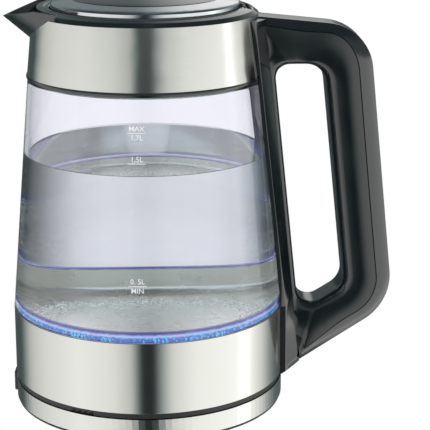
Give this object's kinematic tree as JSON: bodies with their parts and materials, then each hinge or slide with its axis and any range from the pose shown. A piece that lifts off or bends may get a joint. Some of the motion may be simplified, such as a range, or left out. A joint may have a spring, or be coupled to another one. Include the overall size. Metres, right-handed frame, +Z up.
{
  "type": "electric kettle",
  "caption": "Cordless glass kettle with steel collar and band, black handle, spout and hinged lid, standing on its round power base.",
  "frame": {"origin": "on the kettle's axis, in the plane that the base's feet stand on", "axes": "+Z up, +X towards the handle, -X towards the spout"},
  "size_m": [0.2186, 0.1552, 0.2357],
  "materials": {
    "gloss_black": "moulded polypropylene, polished, black",
    "matte_black": "moulded plastic, fine texture, black",
    "brushed_steel": "stainless sheet, brushed round the body",
    "dish_steel": "stainless sheet, satin",
    "mesh_steel": "fine woven stainless mesh",
    "zinc_screw": "zinc plated",
    "spring_steel": "bright spring steel",
    "rubber": "soft black rubber",
    "silicone": "translucent grey silicone",
    "brass": "plated brass",
    "aluminium": "rolled",
    "element_sheath": "aluminium sheath, dull",
    "bimetal": "stamped bimetal",
    "circuit_board": "white solder mask",
    "light_emitter": "clear lens over a blue chip",
    "acrylic": "clear acrylic",
    "glass": "clear borosilicate",
    "wire_insulation": "silicone insulation"
  },
  "bodies": {
    "power_base": {"base_bottom_plate": "matte_black", "base_steel_ring": "brushed_steel", "base_top_plate": "matte_black", "base_screws": "zinc_screw", "rubber_feet": "rubber", "cord_gland": "matte_black", "connector_core": "matte_black", "contact_rings": "brass", "shutter_spring": "spring_steel"},
    "shutter": {"connector_shutter": "matte_black"},
    "lid": {"lid_cap": "brushed_steel", "lid_centre": "gloss_black", "lid_frame": "matte_black", "lid_inner_cover": "matte_black", "lid_seal": "silicone", "lid_screws": "zinc_screw"},
    "lid_button": {"lid_button": "gloss_black", "button_spring": "spring_steel"},
    "latch": {"lid_latch_slider": "matte_black"},
    "switch": {"switch_lever": "gloss_black"},
    "kettle": {"bottom_cover": "matte_black", "bottom_cover_screws": "zinc_screw", "lower_band": "brushed_steel", "clamp_ring": "matte_black", "heater_dish": "dish_steel", "heat_spreader": "aluminium", "heating_element": "element_sheath", "control_unit": "matte_black", "control_contacts": "brass", "bimetal_disc": "bimetal", "light_board": "circuit_board", "light_leds": "light_emitter", "light_ring": "acrylic", "bottom_seal": "silicone", "glass_body": "glass", "top_seal": "silicone", "collar_trim_ring": "gloss_black", "upper_collar": "brushed_steel", "spout_rim": "gloss_black", "spout_filter_frame": "matte_black", "spout_filter_mesh": "mesh_steel", "lid_hinge_pin": "spring_steel", "lid_spring": "spring_steel", "handle_bracket": "gloss_black", "handle_cover_strip": "gloss_black", "handle_outer_shell": "gloss_black", "handle_inner_shell": "gloss_black", "handle_screws": "zinc_screw", "release_housing": "matte_black", "switch_pin": "spring_steel", "switch_module": "matte_black", "steam_tube": "silicone", "wiring_loom": "wire_insulation"}
  },
  "joints": [
    {"name": "kettle_swivel", "type": "hinge", "parent": "power_base", "child": "shutter", "pos_m": [0, 0, 0.02], "axis": [0, 0, 1], "continuous": true},
    {"name": "kettle_lift", "type": "slide", "parent": "shutter", "child": "kettle", "axis": [0, 0, 1], "range_m": [0, 0.03]},
    {"name": "lid_hinge", "type": "hinge", "parent": "kettle", "child": "lid", "pos_m": [0.054, 0, 0.2261], "axis": [0, 1, 0], "range_deg": [0, 75]},
    {"name": "button_press", "type": "slide", "parent": "kettle", "child": "lid_button", "axis": [0, 0, -1], "range_m": [0, 0.003], "stiffness_N_per_m": 300, "springref_m": -0.003, "deforming": ["button_spring"]},
    {"name": "latch_slide", "type": "slide", "parent": "kettle", "child": "latch", "axis": [1, 0, 0], "range_m": [0, 0.003]},
    {"name": "switch_rock", "type": "hinge", "parent": "kettle", "child": "switch", "pos_m": [0.0854, 0, 0.0248], "axis": [0, 1, 0], "range_deg": [0, 8]}
  ],
  "couplings": [
    {"joint": "latch_slide", "follows": "button_press", "ratio": 1}
  ]
}
